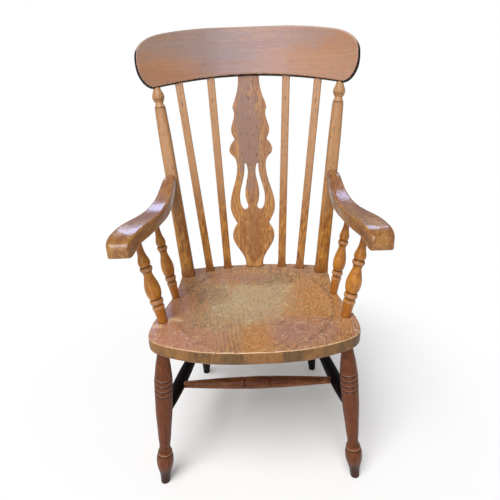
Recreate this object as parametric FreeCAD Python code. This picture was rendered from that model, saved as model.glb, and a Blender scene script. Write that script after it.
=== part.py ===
import FreeCAD, Part
import math
import os

# A high-backed captain's armchair in elm and beech, all sizes in millimetres. The chair faces -Y
# and +Z is up, so +X is on the right of someone who looks at its front. Pieces are drawn for the
# +X side and mirrored. The chair is drawn about a point near the middle of its seat and moved at
# the end, so that the origin is on the floor under the middle of its outline.

# Seat board
SEAT_HEIGHT = 440.0
SEAT_THICKNESS = 38.0
SEAT_TOP_ROUND = 2.5
SEAT_LOWER_CHAMFER = 9.0
SEAT_EDGE = [
    (0, -248), (106, -242), (190, -218), (243, -183), (252, -140), (247, -90), (232, -30),
    (223, 25), (218, 100), (218, 150), (206, 190), (165, 208), (110, 217), (0, 222),
]
# The dish is the cap of a flattened ball, which meets the flat rim at a soft line
DISH_MIDDLE = -30.0
DISH_HALF_WIDTH = 203.0
DISH_HALF_LENGTH = 222.0
DISH_DEPTH = 9.0
DISH_CAP_ANGLE = 65.0

# Joints: blind sockets for round and flat tenons
SOCKET_CLEARANCE = 0.1
SOCKET_END_GAP = 1.0
TENON_ROOT = 8.0
SEAT_SOCKET_COVER = 13.0
LEG_TENON_RADIUS = 12.0
SPINDLE_FOOT_TENON_RADIUS = 7.0
SPINDLE_TOP_TENON_RADIUS = 6.0
SPINDLE_TENON_LENGTH = 20.0
STRETCHER_TENON_RADIUS = 7.5
STRETCHER_SHOULDER = 15.0
POST_FOOT_TENON_RADIUS = 12.0
POST_TOP_TENON_RADIUS = 7.5
CREST_TENON_LENGTH = 24.0

# Legs, from the middle of the foot to the middle of the leg at the seat's underside
FRONT_FOOT = (252.0, -186.0)
FRONT_LEG_TOP = (218.0, -172.0)
REAR_FOOT = (189.0, 273.0)
REAR_LEG_TOP = (152.0, 150.0)
FOOT_EDGE_ROUND = 2.0
# Turned outlines are runs of (distance from the start, radius); a run is a smooth curve
FRONT_LEG_VASE = [
    (-10, 11.0), (12, 12.3), (24, 13.2), (36, 15.3), (48, 18.4), (60, 20.8), (72, 21.8), (82, 21.5),
    (90, 20.3),
]
FRONT_LEG_HOLLOW = [(90, 20.3), (96.5, 17.9), (101.5, 18.3)]
FRONT_LEG_BODY = [
    (101.5, 18.3), (108, 15.4), (116, 13.9), (135, 14.9), (164, 16.8), (193, 18.6), (228, 20.6), (258, 21.2),
]
# Above the rings, distances count down from the seat
FRONT_LEG_SHOULDER = [(65, 20.4), (40, 17.9), (20, 15.0), (-10, 13.2)]
LEG_GROOVE_DEPTH = 1.1
LEG_GROOVE_WIDTH = 2.4
LEG_BAND_BOTTOM = 282.0
LEG_BAND_PITCH = 14.5
LEG_BAND_RINGS = 3
LEG_BAND_RADIUS = 21.7
LEG_RING_SWELL = 0.4
REAR_LEG_LOWER = [(-10, 10.6), (30, 12.6), (70, 15.8), (120, 18.0), (222, 19.2)]
REAR_LEG_SHOULDER = [(110, 18.6), (50, 16.2), (-10, 13.4)]

# Stretchers: two run front to back, one crosses between them
STRETCHER_HEIGHT_FRONT = 213.0
STRETCHER_HEIGHT_REAR = 215.0
SIDE_STRETCHER_END_RADIUS = 10.0
SIDE_STRETCHER_MIDDLE_RADIUS = 17.0
CROSS_STRETCHER_PLACE = 0.3
CROSS_STRETCHER_END_RADIUS = 8.3
CROSS_STRETCHER_MIDDLE_RADIUS = 16.2
CROSS_GROOVE_OFFSET = 34.4
CROSS_GROOVE_WIDTH = 3.2
CROSS_GROOVE_DEPTH = 1.8

# Crest rail: a board bent in plan, leaning back, with a domed outline
RAKE = 0.2537
CREST_RISE = 552.0
CREST_HEIGHT = 128.5
CREST_FRONT = 333.6
CREST_BEND_RADIUS = 698.0
CREST_THICKNESS = 24.0
CREST_EDGE_ROUND = 3.0
CREST_HALF_SPAN = 265.0
CREST_LOWER_SAG = 25.0
# The outline of its front face from the lower corner up to the middle, as x and height over the
# middle's lower edge
CREST_SIDE = [
    (CREST_HALF_SPAN, -CREST_LOWER_SAG), (278.5, -18.5), (293, -1.5), (303, 24), (306, 50),
    (303, 76), (285, 98), (223, 118), (132, 127),
]

# Back posts, with a flat-faced body and a turned finial under the crest
POST_FOOT = (198.0, 157.8)
POST_TOP_X = 255.5
POST_WIDTH = 37.0
POST_DEPTH = 27.0
POST_NECK_RADIUS = 16.0
POST_NECK_STEP = 0.3
POST_TAPER_LENGTH = 80.0
POST_FOOT_HEIGHT = 11.0
POST_STOP_LENGTH = 12.0
POST_FOOT_ARRIS = 2.0
POST_ARRIS = 8.5
POST_SLIMMING = 2.0
POST_UPPER_ARRIS = 10.5
# The finial's start counts down from the crest, and its runs count up from that start
POST_FINIAL_DROP = 61.0
POST_FINIAL = [
    [(-1, POST_NECK_RADIUS), (1.5, POST_NECK_RADIUS)],
    [(1.5, POST_NECK_RADIUS), (3.5, 13.8)],
    [(3.5, 13.8), (5.5, 15.7)],
    [(5.5, 15.7), (9, 14.5), (13, 12.4), (19, 10.8)],
    [(19, 10.8), (22, 12.9), (24.5, 14.6)],
    [(24.5, 14.6), (26, 13.6)],
    [(26, 13.6), (28, 15.6), (33, 17.0), (39, 16.7), (47, 14.2), (54, 11.2), (61, 9.4), (69, 8.8)],
]

# Laths, outer and inner: foot x and y at the seat, x under the crest, turn towards the middle
LATHS = {
    "outer": {"foot": (136.0, 185.3), "top_x": 196.5, "turn": 9.0},
    "inner": {"foot": (82.9, 202.7), "top_x": 107.9, "turn": 5.0},
}
LATH_WIDTH = 22.5
LATH_DEPTH = 14.0
LATH_FOOT_WIDTH = 24.5
LATH_FOOT_HEIGHT = 9.0
LATH_STOP_LENGTH = 9.0
LATH_FOOT_ARRIS = 1.0
LATH_ARRIS = 3.5
LATH_TENON_WIDTH = 14.0
LATH_TENON_DEPTH = 8.0

# Splat: a pierced board. Its half outline is (half width, height along the board)
SPLAT_FOOT_Y = 209.0
SPLAT_THICKNESS = 10.0
SPLAT_TENON_WIDTH = 40.0
SPLAT_TENON_DEPTH = 6.0
SPLAT_TENON_LENGTH = 16.0
SPLAT_LOWER_LOBE = [(26.5, 14), (33, 34), (47.5, 57), (61, 82), (63.5, 99), (58, 118), (48, 134)]
SPLAT_LYRE = [
    (48, 134), (59, 154), (66.3, 175), (66.7, 198), (61.5, 225), (50.8, 259), (43.5, 294),
    (44, 317), (51.5, 334), (61.5, 344), (64, 353.5), (58.5, 370), (47, 385),
]
SPLAT_UPPER_LOBE = [(47, 385), (53.5, 397), (56.7, 411), (54.5, 425), (47, 449), (46.2, 462), (50.3, 475)]
SPLAT_NECK = [(50.3, 475), (47.5, 486), (39.8, 507), (33.2, 532), (30.6, 560)]
PIERCING_INNER = [(21.4, 321), (14, 306), (11.6, 290), (15.8, 262), (20.8, 232), (19.6, 208), (14, 190)]
PIERCING_OUTER = [
    (14, 190), (16.5, 179.5), (25, 176.5), (33, 186), (37.2, 204), (36.4, 227), (28.6, 258),
    (21.4, 292), (21.4, 321),
]

# Arm rests. A station is (y, inner x, outer x, underside rise, top rise, lower round, upper round),
# where a rise is counted from the flat underside that the spindles meet. The nose hangs lower
ARM_RISE = 219.0
ARM_STATIONS = [
    (-204, 256, 296, -4, 13, 3, 5),
    (-201, 252.5, 300, -6.5, 20, 3, 7),
    (-193, 249.5, 303, -7, 27, 3, 8),
    (-180, 247, 304.5, -4.5, 31.5, 4, 7),
    (-150, 242.5, 303, 0, 34.5, 7, 6),
    (-100, 233.5, 295, 0, 35.5, 8, 6),
    (-50, 225, 282, 0, 33, 8, 6),
    (0, 218.5, 269, 0, 32, 8, 6),
    (45, 215, 260, 0.5, 35.5, 8, 6),
    (95, 213.5, 254.5, 6, 44, 9, 7),
    (140, 214, 252, 17, 57, 10, 8),
    (178, 215.5, 251.5, 29, 68, 12, 10),
    (222, 217, 251, 33, 70, 14, 12),
]
ARM_PEG_RADIUS = 5.0
ARM_PEG_REACH = 36.0
ARM_PEG_RISE = 48.0

# Arm spindles: x and y at the seat and at the arm, and how thick each is beside the front one
SPINDLES = {
    "front": {"foot": (225.3, -105.0), "top": (264.0, -101.0), "girth": 1.0},
    "rear": {"foot": (214.7, 20.7), "top": (248.0, 27.0), "girth": 0.88},
}
# Taper, small ring, large ring, long bulb, neck, ring, then a small bulb that tapers to the arm
SPINDLE_RUNS = [
    [(-10, 11.6), (14, 12.0), (37, 13.9)],
    [(37, 13.9), (42, 15.0), (46.5, 13.4)],
    [(46.5, 13.4), (49, 12.9), (51.5, 14.6)],
    [(51.5, 14.6), (58, 16.6), (64, 14.6)],
    [(64, 14.6), (66, 13.4), (68, 14.8)],
    [(68, 14.8), (77, 17.6), (90, 18.8), (104, 17.2), (118, 13.4), (129, 10.9), (136, 11.4), (140, 13.6)],
    [(140, 13.6), (145, 15.3), (150, 13.4)],
    [(150, 13.4), (152, 11.9), (154, 12.6)],
    [(154, 12.6), (158, 14.2), (164, 14.3), (174, 11.6), (186, 9.0), (200, 8.2)],
]
SPINDLE_TOP_RADIUS = 8.0

UP = FreeCAD.Vector(0, 0, 1)
LARGE = 2000.0
# How far a piece is drawn past the surface that trims it
OVERRUN = 12.0
# The corner radius of a section that is round but for short flats, as a share of its width
ALMOST_ROUND = 0.49
SEAT_UNDERSIDE = SEAT_HEIGHT - SEAT_THICKNESS
ARM_UNDERSIDE = SEAT_HEIGHT + ARM_RISE
CREST_LOWER = SEAT_HEIGHT + CREST_RISE
SEAT_TENON_LENGTH = SEAT_THICKNESS - SEAT_SOCKET_COVER


def point(x, y, z):
    return FreeCAD.Vector(x, y, z)


def mirrored(shape):
    return shape.mirror(FreeCAD.Vector(0, 0, 0), FreeCAD.Vector(1, 0, 0))


def space_above(z):
    return Part.makeBox(LARGE, LARGE, LARGE, point(-LARGE / 2, -LARGE / 2, z))


def space_below(z):
    return Part.makeBox(LARGE, LARGE, LARGE, point(-LARGE / 2, -LARGE / 2, z - LARGE))


def main_solid(shape):
    # A trim may leave an offcut beyond the joint, so the largest solid is the piece
    return max(shape.Solids, key=lambda solid: solid.Volume)


def edge_through(points):
    # Two points make a line, three an arc and more a smooth curve
    if len(points) == 2:
        return Part.makeLine(points[0], points[1])
    if len(points) == 3:
        return Part.Arc(*points).toShape()
    curve = Part.BSplineCurve()
    curve.interpolate(points)
    return curve.toShape()


def turned(runs, start, end):
    # A lathe-turned piece. Each run lists (distance from start, radius) along the axis
    edges = [edge_through([point(r, 0, s) for s, r in run]) for run in runs]
    first_s, first_r = runs[0][0]
    last_s, last_r = runs[-1][-1]
    edges.append(Part.makeLine(point(last_r, 0, last_s), point(0, 0, last_s)))
    edges.append(Part.makeLine(point(0, 0, last_s), point(0, 0, first_s)))
    edges.append(Part.makeLine(point(0, 0, first_s), point(first_r, 0, first_s)))
    face = Part.Face(Part.Wire(Part.__sortEdges__(edges)))
    solid = face.revolve(point(0, 0, 0), UP, 360)
    solid.Placement = FreeCAD.Placement(start, FreeCAD.Rotation(UP, end - start))
    return solid


def round_tenon(root, direction, radius, length, grow=0.0):
    # With grow, this is the socket that the tenon fits
    unit = FreeCAD.Vector(direction).normalize()
    extra = SOCKET_END_GAP if grow else 0.0
    base = root - unit * TENON_ROOT
    return Part.makeCylinder(radius + grow, TENON_ROOT + length + extra, base, unit)


def rounded_rectangle(middle, side, front, width, depth, arris, back_arris=None):
    # The corners on the front side have one round, those on the back side may have another
    half_w = width / 2
    half_d = depth / 2
    corners = []
    for sx, sy in ((1, 1), (-1, 1), (-1, -1), (1, -1)):
        radius = arris if sy > 0 or back_arris is None else back_arris
        cut = radius * (1 - math.sqrt(0.5))
        along_side = middle + side * sx * (half_w - radius) + front * sy * half_d
        along_end = middle + side * sx * half_w + front * sy * (half_d - radius)
        bend = middle + side * sx * (half_w - cut) + front * sy * (half_d - cut)
        corners.append((along_end, bend, along_side) if sx * sy > 0 else (along_side, bend, along_end))
    edges = []
    for index, (first, bend, last) in enumerate(corners):
        edges.append(Part.Arc(first, bend, last).toShape())
        edges.append(Part.makeLine(last, corners[(index + 1) % 4][0]))
    return Part.Wire(edges)


class Stick:
    """The straight axis of a rectangular piece, with its width and facing directions."""

    def __init__(self, foot, top, turn=0.0):
        self.foot = foot
        self.along = (top - foot).normalize()
        self.length = (top - foot).Length
        angle = math.radians(turn)
        facing = point(-math.sin(angle), -math.cos(angle), 0)
        self.front = (facing - self.along * facing.dot(self.along)).normalize()
        self.side = self.front.cross(self.along)

    def at(self, distance, side=0.0, front=0.0):
        return self.foot + self.along * distance + self.side * side + self.front * front

    def section(self, distance, width, depth, arris):
        return rounded_rectangle(self.at(distance), self.side, self.front, width, depth, arris)

    def tongue(self, distance, way, width, depth, length, grow=0.0):
        # A flat tenon from one end of the stick, way 1 upwards and -1 downwards
        extra = SOCKET_END_GAP if grow else 0.0
        wide = width + 2 * grow
        deep = depth + 2 * grow
        low = distance - TENON_ROOT if way > 0 else distance - length - extra
        face = Part.Face(Part.makePolygon([
            self.at(low, sx * wide / 2, sy * deep / 2)
            for sx, sy in ((1, 1), (-1, 1), (-1, -1), (1, -1), (1, 1))
        ]))
        return face.extrude(self.along * (TENON_ROOT + length + extra))


def crest_lower_edge(x):
    # The crest's lower edge is one wide arc
    radius = (CREST_HALF_SPAN ** 2 + CREST_LOWER_SAG ** 2) / (2 * CREST_LOWER_SAG)
    return CREST_LOWER - (radius - math.sqrt(radius ** 2 - x ** 2))


def through_crest(x, z, depth):
    # A point at this depth straight behind the front face's point at x and z. The face leans back,
    # so the way through it drops a little
    turn = math.asin(x / CREST_BEND_RADIUS)
    sweep = CREST_BEND_RADIUS * (1 - math.cos(turn))
    face = point(x, CREST_FRONT - sweep + (z - CREST_LOWER) * RAKE, z)
    inward = point(math.sin(turn), math.cos(turn), -RAKE * math.cos(turn))
    return face + inward.normalize() * depth


def under_crest(x):
    # The middle of the crest's underside, over the front face's point at x
    return through_crest(x, crest_lower_edge(x), CREST_THICKNESS / 2)


def seat_hollow():
    angle = math.radians(DISH_CAP_ANGLE)
    flattening = DISH_DEPTH / (1 - math.cos(angle))
    dish = FreeCAD.Matrix()
    dish.A11 = DISH_HALF_WIDTH / math.sin(angle)
    dish.A22 = DISH_HALF_LENGTH / math.sin(angle)
    dish.A33 = flattening
    dish.A24 = DISH_MIDDLE
    dish.A34 = SEAT_HEIGHT + flattening * math.cos(angle)
    return Part.makeSphere(1.0).transformGeometry(dish)


def make_seat():
    half = [point(x, y, SEAT_UNDERSIDE) for x, y in SEAT_EDGE]
    other = [point(-p.x, p.y, p.z) for p in reversed(half[1:-1])]
    curve = Part.BSplineCurve()
    curve.interpolate(Points=half + other, PeriodicFlag=True)
    board = Part.Face(Part.Wire(curve.toShape())).extrude(UP * SEAT_THICKNESS)
    lower = [e for e in board.Edges if e.BoundBox.ZMax < SEAT_UNDERSIDE + 1]
    board = board.makeChamfer(SEAT_LOWER_CHAMFER, lower)
    upper = [e for e in board.Edges if e.BoundBox.ZMin > SEAT_HEIGHT - 1]
    board = board.makeFillet(SEAT_TOP_ROUND, upper)
    return board.cut(seat_hollow())


def leg_axis(foot, top):
    return point(foot[0], foot[1], 0), point(top[0], top[1], SEAT_UNDERSIDE)


def front_leg_runs(length):
    # Vase foot, neck, long body, three rings, and a swelling that narrows to the seat
    groove = LEG_GROOVE_WIDTH / 2
    valley = LEG_BAND_RADIUS - LEG_GROOVE_DEPTH
    runs = [FRONT_LEG_VASE, FRONT_LEG_HOLLOW]
    run = FRONT_LEG_BODY + [(LEG_BAND_BOTTOM - groove, LEG_BAND_RADIUS)]
    for ring in range(LEG_BAND_RINGS + 1):
        middle = LEG_BAND_BOTTOM + ring * LEG_BAND_PITCH
        edge = middle + groove
        runs += [run, [run[-1], (middle, valley)], [(middle, valley), (edge, LEG_BAND_RADIUS)]]
        run = [
            (edge, LEG_BAND_RADIUS),
            (middle + LEG_BAND_PITCH / 2, LEG_BAND_RADIUS + LEG_RING_SWELL),
            (middle + LEG_BAND_PITCH - groove, LEG_BAND_RADIUS),
        ]
    runs.append([(edge, LEG_BAND_RADIUS)] + [(length - down, r) for down, r in FRONT_LEG_SHOULDER])
    return runs


def rear_leg_runs(length):
    # A plain leg that swells where the stretcher enters
    return [REAR_LEG_LOWER + [(length - down, r) for down, r in REAR_LEG_SHOULDER]]


def make_leg(runs, foot, top):
    start, end = leg_axis(foot, top)
    direction = end - start
    leg = turned(runs(direction.Length), start, end)
    leg = main_solid(leg.cut([space_below(0), space_above(SEAT_UNDERSIDE)]))
    sole = [e for e in leg.Edges if e.BoundBox.ZMax < 0.01]
    leg = leg.makeFillet(FOOT_EDGE_ROUND, sole)
    return leg.fuse(leg_tenon(foot, top)).removeSplitter()


def leg_tenon(foot, top, grow=0.0):
    start, end = leg_axis(foot, top)
    return round_tenon(end, end - start, LEG_TENON_RADIUS, SEAT_TENON_LENGTH, grow)


def on_leg(foot, top, height):
    start, end = leg_axis(foot, top)
    return start + (end - start) * (height / SEAT_UNDERSIDE)


def side_stretcher_ends():
    front = on_leg(FRONT_FOOT, FRONT_LEG_TOP, STRETCHER_HEIGHT_FRONT)
    rear = on_leg(REAR_FOOT, REAR_LEG_TOP, STRETCHER_HEIGHT_REAR)
    return front, rear


def swelling(length, end_radius, middle_radius, place):
    # A stretcher's profile, thickest where the share place of its length is reached
    peak = place * length
    rest = length - peak
    gain = middle_radius - end_radius
    return [[
        (0, end_radius), (0.35 * peak, end_radius + 0.5 * gain), (peak, middle_radius),
        (peak + 0.45 * rest, end_radius + 0.62 * gain), (length, end_radius),
    ]]


def stretcher_tenons(start, end, grow=0.0):
    # A tenon at each end, which reaches the axis of the piece that carries it
    unit = (end - start).normalize()
    depth = STRETCHER_SHOULDER
    return [
        round_tenon(root, way, STRETCHER_TENON_RADIUS, depth, grow)
        for root, way in ((start + unit * depth, unit * -1), (end - unit * depth, unit))
    ]


def make_side_stretcher(front_leg, rear_leg):
    front, rear = side_stretcher_ends()
    runs = swelling(
        (rear - front).Length, SIDE_STRETCHER_END_RADIUS, SIDE_STRETCHER_MIDDLE_RADIUS, CROSS_STRETCHER_PLACE
    )
    return main_solid(turned(runs, front, rear).cut(front_leg).cut(rear_leg))


def cross_stretcher_ends():
    front, rear = side_stretcher_ends()
    right = front + (rear - front) * CROSS_STRETCHER_PLACE
    return point(-right.x, right.y, right.z), right


def cross_stretcher_runs(length):
    # A barrel between two grooves, then a long taper each way
    half = length / 2
    groove = CROSS_GROOVE_WIDTH / 2
    big = CROSS_STRETCHER_MIDDLE_RADIUS
    small = CROSS_STRETCHER_END_RADIUS
    left = half - CROSS_GROOVE_OFFSET
    right = half + CROSS_GROOVE_OFFSET
    valley = big - CROSS_GROOVE_DEPTH
    return [
        [
            (0, small), (0.35 * left, small + 0.42 * (big - small)), (0.75 * left, big - 1.2),
            (left - groove, big),
        ],
        [(left - groove, big), (left, valley)],
        [(left, valley), (left + groove, big)],
        [(left + groove, big), (half, big + 0.7), (right - groove, big)],
        [(right - groove, big), (right, valley)],
        [(right, valley), (right + groove, big)],
        [
            (right + groove, big), (length - 0.75 * left, big - 1.2),
            (length - 0.35 * left, small + 0.42 * (big - small)), (length, small),
        ],
    ]


def make_crest():
    # A bent band, drawn larger than the rail and cut to its outline square to its face
    widest = max(x for x, z in CREST_SIDE)
    low = min(z for x, z in CREST_SIDE) - OVERRUN
    high = CREST_HEIGHT + OVERRUN
    bend = point(0, CREST_FRONT - CREST_BEND_RADIUS + low * RAKE, CREST_LOWER + low)
    reach = math.degrees(math.asin((widest + OVERRUN) / CREST_BEND_RADIUS))
    arcs = []
    for radius in (CREST_BEND_RADIUS, CREST_BEND_RADIUS + CREST_THICKNESS):
        arcs.append(Part.makeCircle(radius, bend, UP, 90 - reach, 90 + reach))
    ends = [
        Part.makeLine(arcs[0].Vertexes[i].Point, arcs[1].Vertexes[i].Point) for i in (0, 1)
    ]
    band = Part.Face(Part.Wire(Part.__sortEdges__(arcs + ends)))
    board = band.extrude(point(0, (high - low) * RAKE, high - low))
    upper = CREST_SIDE + [(0, CREST_HEIGHT)] + [(-x, z) for x, z in reversed(CREST_SIDE)]
    steps = [CREST_HALF_SPAN * third / 3 for third in range(-3, 4)]
    lower = [(x, crest_lower_edge(x) - CREST_LOWER) for x in steps]
    cuts = []
    for run in (upper, lower):
        rims = [
            edge_through([through_crest(x, CREST_LOWER + z, depth) for x, z in run])
            for depth in (-OVERRUN, CREST_THICKNESS + OVERRUN)
        ]
        cuts.append(Part.makeRuledSurface(*rims))
    rail = main_solid(board.generalFuse(cuts)[0])
    return rail.makeFillet(CREST_EDGE_ROUND, rail.Edges)


def post_stick():
    return Stick(point(POST_FOOT[0], POST_FOOT[1], SEAT_HEIGHT), under_crest(POST_TOP_X))


def make_post(under_seat_top, crest):
    # A square foot, a chamfered body that becomes round, and the finial
    stick = post_stick()
    finial_start = stick.length - POST_FINIAL_DROP
    taper_start = finial_start - POST_TAPER_LENGTH
    neck = 2 * (POST_NECK_RADIUS - POST_NECK_STEP)
    body = Part.makeLoft([
        stick.section(-OVERRUN, POST_WIDTH, POST_DEPTH, POST_FOOT_ARRIS),
        stick.section(POST_FOOT_HEIGHT, POST_WIDTH, POST_DEPTH, POST_FOOT_ARRIS),
        stick.section(POST_FOOT_HEIGHT + POST_STOP_LENGTH, POST_WIDTH, POST_DEPTH, POST_ARRIS),
        stick.section(taper_start, POST_WIDTH - POST_SLIMMING, POST_DEPTH, POST_UPPER_ARRIS),
        stick.section(finial_start, neck, neck, neck * ALMOST_ROUND),
    ], True, True)
    runs = [[(finial_start + s, r) for s, r in run] for run in POST_FINIAL]
    post = body.fuse(turned(runs, stick.at(0), stick.at(1)))
    return main_solid(post.cut([under_seat_top, crest]))


def post_tenons(grow=0.0):
    stick = post_stick()
    foot = round_tenon(stick.at(0), stick.along * -1, POST_FOOT_TENON_RADIUS, SEAT_TENON_LENGTH, grow)
    top = round_tenon(stick.at(stick.length), stick.along, POST_TOP_TENON_RADIUS, CREST_TENON_LENGTH, grow)
    return [foot, top]


def lath_stick(lath):
    foot = point(lath["foot"][0], lath["foot"][1], SEAT_HEIGHT)
    return Stick(foot, under_crest(lath["top_x"]), lath["turn"])


def make_lath(lath, under_seat_top, crest):
    stick = lath_stick(lath)
    stop = LATH_FOOT_HEIGHT + LATH_STOP_LENGTH
    body = Part.makeLoft([
        stick.section(-OVERRUN, LATH_FOOT_WIDTH, LATH_DEPTH, LATH_FOOT_ARRIS),
        stick.section(LATH_FOOT_HEIGHT, LATH_FOOT_WIDTH, LATH_DEPTH, LATH_FOOT_ARRIS),
        stick.section(stop, LATH_WIDTH, LATH_DEPTH, LATH_ARRIS),
        stick.section(stick.length + OVERRUN, LATH_WIDTH, LATH_DEPTH, LATH_ARRIS),
    ], True, True)
    return main_solid(body.cut([under_seat_top, crest]))


def lath_tenons(lath, grow=0.0):
    stick = lath_stick(lath)
    foot = stick.tongue(0, -1, LATH_TENON_WIDTH, LATH_TENON_DEPTH, SEAT_TENON_LENGTH, grow)
    top = stick.tongue(stick.length, 1, LATH_TENON_WIDTH, LATH_TENON_DEPTH, CREST_TENON_LENGTH, grow)
    return [foot, top]


def splat_stick():
    return Stick(point(0, SPLAT_FOOT_Y, SEAT_HEIGHT), under_crest(0))


def on_board(stick, pairs, sign=1):
    return [stick.at(height, 0, SPLAT_THICKNESS / 2) + point(sign * half, 0, 0) for half, height in pairs]


def make_splat(under_seat_top, crest):
    stick = splat_stick()
    runs = [
        [(SPLAT_LOWER_LOBE[0][0], -OVERRUN), SPLAT_LOWER_LOBE[0]],
        SPLAT_LOWER_LOBE,
        SPLAT_LYRE,
        SPLAT_UPPER_LOBE,
        SPLAT_NECK,
        [SPLAT_NECK[-1], (SPLAT_NECK[-1][0], stick.length + OVERRUN)],
    ]
    edges = []
    for sign in (1, -1):
        edges += [edge_through(on_board(stick, run, sign)) for run in runs]
    for half, height in (runs[0][0], runs[-1][-1]):
        ends = on_board(stick, [(half, height)]) + on_board(stick, [(half, height)], -1)
        edges.append(edge_through(ends))
    board = Part.Face(Part.Wire(Part.__sortEdges__(edges))).extrude(stick.front * -SPLAT_THICKNESS)
    for sign in (1, -1):
        flame = [edge_through(on_board(stick, run, sign)) for run in (PIERCING_INNER, PIERCING_OUTER)]
        hole = Part.Face(Part.Wire(Part.__sortEdges__(flame)))
        board = board.cut(hole.extrude(stick.front * -SPLAT_THICKNESS))
    return main_solid(board.cut([under_seat_top, crest]))


def splat_tenons(grow=0.0):
    stick = splat_stick()
    foot = stick.tongue(0, -1, SPLAT_TENON_WIDTH, SPLAT_TENON_DEPTH, SPLAT_TENON_LENGTH, grow)
    top = stick.tongue(stick.length, 1, SPLAT_TENON_WIDTH, SPLAT_TENON_DEPTH, SPLAT_TENON_LENGTH, grow)
    return [foot, top]


def arm_section(station):
    y, inner, outer, low, high, lower_round, upper_round = station
    middle = point((inner + outer) / 2, y, ARM_UNDERSIDE + (low + high) / 2)
    across = point(1, 0, 0)
    return rounded_rectangle(middle, across, UP, outer - inner, high - low, upper_round, lower_round)


def make_arm():
    body = Part.makeLoft([arm_section(station) for station in ARM_STATIONS], True, False)
    # The back end is flat against the front face of the post
    stick = post_stick()
    middle = stick.at(0, 0, POST_DEPTH / 2)
    behind = Part.Face(Part.makePolygon([
        middle + stick.along * a * LARGE + stick.side * b * LARGE
        for a, b in ((1, 1), (-1, 1), (-1, -1), (1, -1), (1, 1))
    ])).extrude(stick.front * -LARGE)
    return main_solid(body.cut(behind))


def arm_peg(grow=0.0):
    stick = post_stick()
    distance = (ARM_RISE + ARM_PEG_RISE) / stick.along.z
    back = stick.at(distance, 0, -POST_DEPTH / 2)
    reach = POST_DEPTH + ARM_PEG_REACH
    if not grow:
        return Part.makeCylinder(ARM_PEG_RADIUS, reach, back, stick.front)
    mouth = back - stick.front * OVERRUN
    return Part.makeCylinder(ARM_PEG_RADIUS + grow, OVERRUN + reach + SOCKET_END_GAP, mouth, stick.front)


def spindle_runs(length, girth):
    last = SPINDLE_RUNS[-1] + [(length + OVERRUN, SPINDLE_TOP_RADIUS)]
    return [[(s, r * girth) for s, r in run] for run in SPINDLE_RUNS[:-1] + [last]]


def spindle_axis(spindle):
    foot = point(spindle["foot"][0], spindle["foot"][1], SEAT_HEIGHT)
    return foot, point(spindle["top"][0], spindle["top"][1], ARM_UNDERSIDE)


def spindle_tenons(spindle, grow=0.0):
    foot, top = spindle_axis(spindle)
    low = round_tenon(foot, foot - top, SPINDLE_FOOT_TENON_RADIUS, SPINDLE_TENON_LENGTH, grow)
    high = round_tenon(top, top - foot, SPINDLE_TOP_TENON_RADIUS, SPINDLE_TENON_LENGTH, grow)
    return [low, high]


def make_spindle(spindle, under_seat_top):
    foot, top = spindle_axis(spindle)
    body = turned(spindle_runs((top - foot).Length, spindle["girth"]), foot, top)
    body = main_solid(body.cut([under_seat_top, space_above(ARM_UNDERSIDE)]))
    return joined(body, spindle_tenons(spindle))


def joined(body, tenons):
    return main_solid(body.fuse(tenons).removeSplitter())


def socketed(body, sockets):
    # Every socket is on the +X side or on the middle, so it is cut there and mirrored
    return main_solid(body.cut(sockets + [mirrored(socket) for socket in sockets]))


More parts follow.
